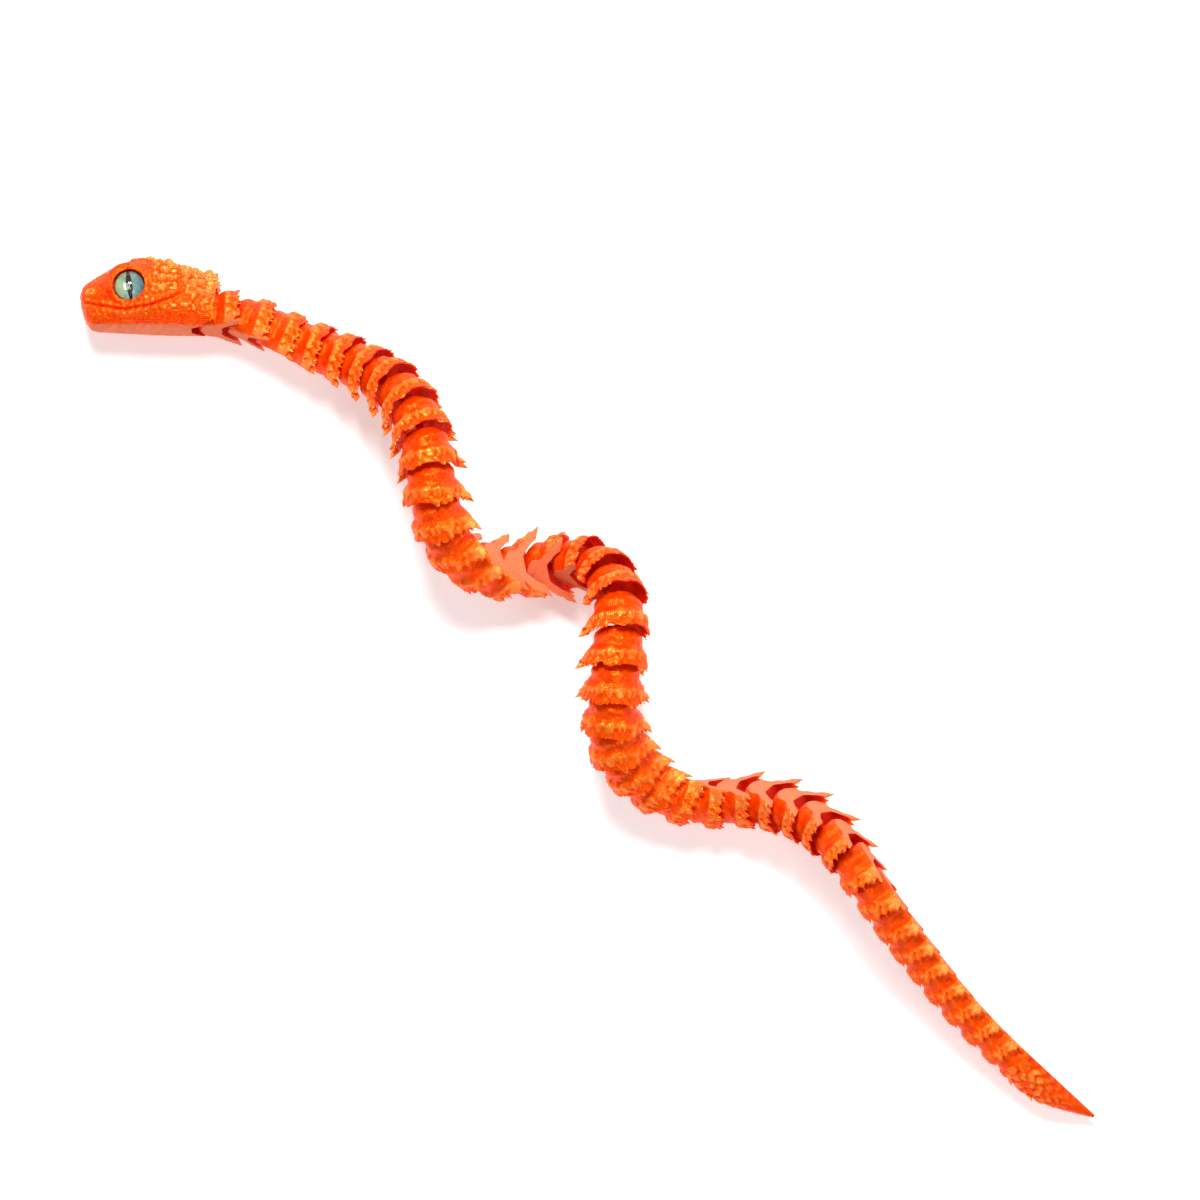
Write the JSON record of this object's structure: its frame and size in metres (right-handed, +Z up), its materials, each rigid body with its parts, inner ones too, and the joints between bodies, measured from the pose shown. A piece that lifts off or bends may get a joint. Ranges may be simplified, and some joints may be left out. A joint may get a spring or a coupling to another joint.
{
  "type": "articulated snake toy",
  "caption": "Bendable printed snake toy: a sculpted head with glass eyes, a chain of ring-like scaled segments on ball joints, and a pointed tail tip.",
  "frame": {"origin": "middle of the snake's box, on the surface that it lies on", "axes": "+X along the snake from head to tail, +Z up, +Y to the left of travel"},
  "size_m": [0.3388, 0.0514, 0.039],
  "materials": {
    "silk_plastic": "silk sheen orange, printed in 0.2 mm layers",
    "eye_glass": "clear polished dome",
    "eye_iris": "printed iris with a slit pupil, gloss from the glass over it"
  },
  "bodies": {
    "head": {"head": "silk_plastic", "left_eye_glass": "eye_glass", "left_eye_iris": "eye_iris", "right_eye_glass": "eye_glass", "right_eye_iris": "eye_iris"},
    "body_segment_01": {"body_segment_01": "silk_plastic"},
    "body_segment_02": {"body_segment_02": "silk_plastic"},
    "body_segment_03": {"body_segment_03": "silk_plastic"},
    "body_segment_04": {"body_segment_04": "silk_plastic"},
    "body_segment_05": {"body_segment_05": "silk_plastic"},
    "body_segment_06": {"body_segment_06": "silk_plastic"},
    "body_segment_07": {"body_segment_07": "silk_plastic"},
    "body_segment_08": {"body_segment_08": "silk_plastic"},
    "body_segment_09": {"body_segment_09": "silk_plastic"},
    "body_segment_10": {"body_segment_10": "silk_plastic"},
    "body_segment_11": {"body_segment_11": "silk_plastic"},
    "body_segment_12": {"body_segment_12": "silk_plastic"},
    "body_segment_13": {"body_segment_13": "silk_plastic"},
    "body_segment_14": {"body_segment_14": "silk_plastic"},
    "body_segment_15": {"body_segment_15": "silk_plastic"},
    "body_segment_16": {"body_segment_16": "silk_plastic"},
    "body_segment_17": {"body_segment_17": "silk_plastic"},
    "body_segment_18": {"body_segment_18": "silk_plastic"},
    "body_segment_19": {"body_segment_19": "silk_plastic"},
    "body_segment_20": {"body_segment_20": "silk_plastic"},
    "body_segment_21": {"body_segment_21": "silk_plastic"},
    "body_segment_22": {"body_segment_22": "silk_plastic"},
    "body_segment_23": {"body_segment_23": "silk_plastic"},
    "body_segment_24": {"body_segment_24": "silk_plastic"},
    "body_segment_25": {"body_segment_25": "silk_plastic"},
    "body_segment_26": {"body_segment_26": "silk_plastic"},
    "body_segment_27": {"body_segment_27": "silk_plastic"},
    "body_segment_28": {"body_segment_28": "silk_plastic"},
    "body_segment_29": {"body_segment_29": "silk_plastic"},
    "body_segment_30": {"body_segment_30": "silk_plastic"},
    "body_segment_31": {"body_segment_31": "silk_plastic"},
    "body_segment_32": {"body_segment_32": "silk_plastic"},
    "body_segment_33": {"body_segment_33": "silk_plastic"},
    "body_segment_34": {"body_segment_34": "silk_plastic"},
    "body_segment_35": {"body_segment_35": "silk_plastic"},
    "body_segment_36": {"body_segment_36": "silk_plastic"},
    "body_segment_37": {"body_segment_37": "silk_plastic"},
    "body_segment_38": {"body_segment_38": "silk_plastic"},
    "body_segment_39": {"body_segment_39": "silk_plastic"},
    "body_segment_40": {"body_segment_40": "silk_plastic"},
    "body_segment_41": {"body_segment_41": "silk_plastic"},
    "body_segment_42": {"body_segment_42": "silk_plastic"},
    "body_segment_43": {"body_segment_43": "silk_plastic"},
    "tail_tip": {"tail_tip": "silk_plastic"}
  },
  "joints": [
    {"name": "neck_joint", "type": "hinge", "parent": "head", "child": "body_segment_01", "pos_m": [-0.14031, 0.00115, 0.01032], "axis": [-0.5631, 0.7543, -0.3377], "range_deg": [-15, 13]},
    {"name": "body_joint_02", "type": "hinge", "parent": "body_segment_01", "child": "body_segment_02", "pos_m": [-0.1338, 0.00589, 0.01006], "axis": [-0.3328, 0.9294, -0.1595], "range_deg": [-24, 6]},
    {"name": "body_joint_03", "type": "hinge", "parent": "body_segment_02", "child": "body_segment_03", "pos_m": [-0.12617, 0.00852, 0.00945], "axis": [-0.2649, 0.9624, 0.06], "range_deg": [-19, 25]},
    {"name": "body_joint_04", "type": "hinge", "parent": "body_segment_03", "child": "body_segment_04", "pos_m": [-0.11835, 0.01069, 0.00926], "axis": [0.3492, -0.9048, -0.2438], "range_deg": [-25, 14]},
    {"name": "body_joint_05", "type": "hinge", "parent": "body_segment_04", "child": "body_segment_05", "pos_m": [-0.11073, 0.01323, 0.01071], "axis": [0.4097, -0.8358, -0.3655], "range_deg": [-25, 17]},
    {"name": "body_joint_06", "type": "hinge", "parent": "body_segment_05", "child": "body_segment_06", "pos_m": [-0.10337, 0.0157, 0.01333], "axis": [0.437, -0.769, -0.4666], "range_deg": [-25, 13]},
    {"name": "body_joint_07", "type": "hinge", "parent": "body_segment_06", "child": "body_segment_07", "pos_m": [-0.09633, 0.0173, 0.01728], "axis": [-0.4987, 0.662, 0.5595], "range_deg": [-14, 25]},
    {"name": "body_joint_08", "type": "hinge", "parent": "body_segment_07", "child": "body_segment_08", "pos_m": [-0.08979, 0.01801, 0.02227], "axis": [-0.3544, 0.5976, 0.7192], "range_deg": [-11, 25]},
    {"name": "body_joint_09", "type": "hinge", "parent": "body_segment_08", "child": "body_segment_09", "pos_m": [-0.08296, 0.01666, 0.02676], "axis": [-0.228, 0.4322, 0.8725], "range_deg": [-8, 25]},
    {"name": "body_joint_10", "type": "hinge", "parent": "body_segment_09", "child": "body_segment_10", "pos_m": [-0.07633, 0.01309, 0.03026], "axis": [0.1161, -0.0288, -0.9928], "range_deg": [-25, 9]},
    {"name": "body_joint_11", "type": "hinge", "parent": "body_segment_10", "child": "body_segment_11", "pos_m": [-0.06984, 0.00795, 0.03116], "axis": [0.2121, 0.3957, -0.8935], "range_deg": [-25, 11]},
    {"name": "body_joint_12", "type": "hinge", "parent": "body_segment_11", "child": "body_segment_12", "pos_m": [-0.06384, 0.00225, 0.03007], "axis": [0.191, 0.7967, -0.5734], "range_deg": [-21, 17]},
    {"name": "body_joint_13", "type": "hinge", "parent": "body_segment_12", "child": "body_segment_13", "pos_m": [-0.0573, -0.00174, 0.02669], "axis": [-0.156, -0.9752, 0.1572], "range_deg": [-11, 25]},
    {"name": "body_joint_14", "type": "hinge", "parent": "body_segment_13", "child": "body_segment_14", "pos_m": [-0.05095, -0.00359, 0.02152], "axis": [-0.0639, -0.9784, -0.1967], "range_deg": [-12, 17]},
    {"name": "body_joint_15", "type": "hinge", "parent": "body_segment_14", "child": "body_segment_15", "pos_m": [-0.04483, -0.00284, 0.01581], "axis": [-0.0589, -0.8408, -0.5382], "range_deg": [-14, 25]},
    {"name": "body_joint_16", "type": "hinge", "parent": "body_segment_15", "child": "body_segment_16", "pos_m": [-0.03895, 0.00009, 0.01058], "axis": [0.0517, 0.3615, 0.9309], "range_deg": [-24, 10]},
    {"name": "body_joint_17", "type": "hinge", "parent": "body_segment_16", "child": "body_segment_17", "pos_m": [-0.03365, 0.00606, 0.00797], "axis": [0.1969, -0.4705, 0.8601], "range_deg": [-23, 13]},
    {"name": "body_joint_18", "type": "hinge", "parent": "body_segment_17", "child": "body_segment_18", "pos_m": [-0.02792, 0.01191, 0.00985], "axis": [0.2862, -0.887, 0.3623], "range_deg": [-25, 10]},
    {"name": "body_joint_19", "type": "hinge", "parent": "body_segment_18", "child": "body_segment_19", "pos_m": [-0.02229, 0.01573, 0.01477], "axis": [-0.0187, 0.999, 0.0396], "range_deg": [-6, 16]},
    {"name": "body_joint_20", "type": "hinge", "parent": "body_segment_19", "child": "body_segment_20", "pos_m": [-0.01676, 0.01559, 0.0211], "axis": [0.1149, 0.9245, 0.3634], "range_deg": [-17, 12]},
    {"name": "body_joint_21", "type": "hinge", "parent": "body_segment_20", "child": "body_segment_21", "pos_m": [-0.01133, 0.01267, 0.0268], "axis": [0.3099, 0.5913, 0.7445], "range_deg": [-19, 0]},
    {"name": "body_joint_22", "type": "hinge", "parent": "body_segment_21", "child": "body_segment_22", "pos_m": [-0.00613, 0.00662, 0.02944], "axis": [-0.2532, -0.2401, -0.9371], "range_deg": [-21, 21]},
    {"name": "body_joint_23", "type": "hinge", "parent": "body_segment_22", "child": "body_segment_23", "pos_m": [-0.00129, -0.00023, 0.02989], "axis": [-0.1601, 0.1528, -0.9752], "range_deg": [-21, 21]},
    {"name": "body_joint_24", "type": "hinge", "parent": "body_segment_23", "child": "body_segment_24", "pos_m": [0.00344, -0.00693, 0.02806], "axis": [-0.0145, 0.4698, -0.8827], "range_deg": [-24, 21]},
    {"name": "body_joint_25", "type": "hinge", "parent": "body_segment_24", "child": "body_segment_25", "pos_m": [0.00816, -0.01303, 0.02474], "axis": [0.0803, -0.7108, 0.6988], "range_deg": [-25, 0]},
    {"name": "body_joint_26", "type": "hinge", "parent": "body_segment_25", "child": "body_segment_26", "pos_m": [0.01425, -0.01672, 0.02029], "axis": [0.24, -0.8391, 0.4881], "range_deg": [-25, 6]},
    {"name": "body_joint_27", "type": "hinge", "parent": "body_segment_26", "child": "body_segment_27", "pos_m": [0.02086, -0.01778, 0.01521], "axis": [0.2425, -0.9157, 0.3205], "range_deg": [-25, 3]},
    {"name": "body_joint_28", "type": "hinge", "parent": "body_segment_27", "child": "body_segment_28", "pos_m": [0.02833, -0.0171, 0.01151], "axis": [-0.3768, 0.9224, -0.0846], "range_deg": [0, 25]},
    {"name": "body_joint_29", "type": "hinge", "parent": "body_segment_28", "child": "body_segment_29", "pos_m": [0.03594, -0.01414, 0.0099], "axis": [-0.6173, 0.7703, 0.1599], "range_deg": [0, 25]},
    {"name": "body_joint_30", "type": "hinge", "parent": "body_segment_29", "child": "body_segment_30", "pos_m": [0.04243, -0.00904, 0.01037], "axis": [-0.6903, 0.6392, 0.339], "range_deg": [-7, 25]},
    {"name": "body_joint_31", "type": "hinge", "parent": "body_segment_30", "child": "body_segment_31", "pos_m": [0.04836, -0.00378, 0.01253], "axis": [0.6001, -0.6841, -0.4147], "range_deg": [-25, 9]},
    {"name": "body_joint_32", "type": "hinge", "parent": "body_segment_31", "child": "body_segment_32", "pos_m": [0.0548, -0.00032, 0.01615], "axis": [0.5049, -0.75, -0.4273], "range_deg": [-25, 18]},
    {"name": "body_joint_33", "type": "hinge", "parent": "body_segment_32", "child": "body_segment_33", "pos_m": [0.06145, 0.00181, 0.02028], "axis": [0.3051, -0.8792, -0.3659], "range_deg": [-25, 17]},
    {"name": "body_joint_34", "type": "hinge", "parent": "body_segment_33", "child": "body_segment_34", "pos_m": [0.06813, 0.00225, 0.02478], "axis": [-0.0126, 0.9555, 0.2949], "range_deg": [-25, 13]},
    {"name": "body_joint_35", "type": "hinge", "parent": "body_segment_34", "child": "body_segment_35", "pos_m": [0.07555, 0.00146, 0.02767], "axis": [0.2475, 0.9514, 0.1831], "range_deg": [-25, 2]},
    {"name": "body_joint_36", "type": "hinge", "parent": "body_segment_35", "child": "body_segment_36", "pos_m": [0.08326, -0.00051, 0.02746], "axis": [0.2781, 0.9566, 0.0868], "range_deg": [-25, 10]},
    {"name": "body_joint_37", "type": "hinge", "parent": "body_segment_36", "child": "body_segment_37", "pos_m": [0.09063, -0.00247, 0.02546], "axis": [-0.2784, -0.9589, -0.0552], "range_deg": [-13, 25]},
    {"name": "body_joint_38", "type": "hinge", "parent": "body_segment_37", "child": "body_segment_38", "pos_m": [0.09741, -0.00424, 0.02201], "axis": [-0.2568, -0.9645, -0.0611], "range_deg": [-25, 23]},
    {"name": "body_joint_39", "type": "hinge", "parent": "body_segment_38", "child": "body_segment_39", "pos_m": [0.10421, -0.00584, 0.01871], "axis": [-0.2331, -0.9707, -0.0584], "range_deg": [-25, 19]},
    {"name": "body_joint_40", "type": "hinge", "parent": "body_segment_39", "child": "body_segment_40", "pos_m": [0.11122, -0.00737, 0.01605], "axis": [0.2169, 0.9754, 0.0389], "range_deg": [-23, 25]},
    {"name": "body_joint_41", "type": "hinge", "parent": "body_segment_40", "child": "body_segment_41", "pos_m": [0.11825, -0.00883, 0.01363], "axis": [0.172, 0.9849, 0.0176], "range_deg": [-22, 25]},
    {"name": "body_joint_42", "type": "hinge", "parent": "body_segment_41", "child": "body_segment_42", "pos_m": [0.12535, -0.01003, 0.01153], "axis": [0.1184, 0.993, 0.0029], "range_deg": [-21, 25]},
    {"name": "body_joint_43", "type": "hinge", "parent": "body_segment_42", "child": "body_segment_43", "pos_m": [0.13251, -0.01088, 0.00981], "axis": [-0.0761, -0.9971, 0.0035], "range_deg": [-25, 21]},
    {"name": "tail_joint", "type": "hinge", "parent": "body_segment_43", "child": "tail_tip", "pos_m": [0.1397, -0.01144, 0.00841], "axis": [-0.0506, -0.9987, 0.0049], "range_deg": [-25, 24]}
  ]
}
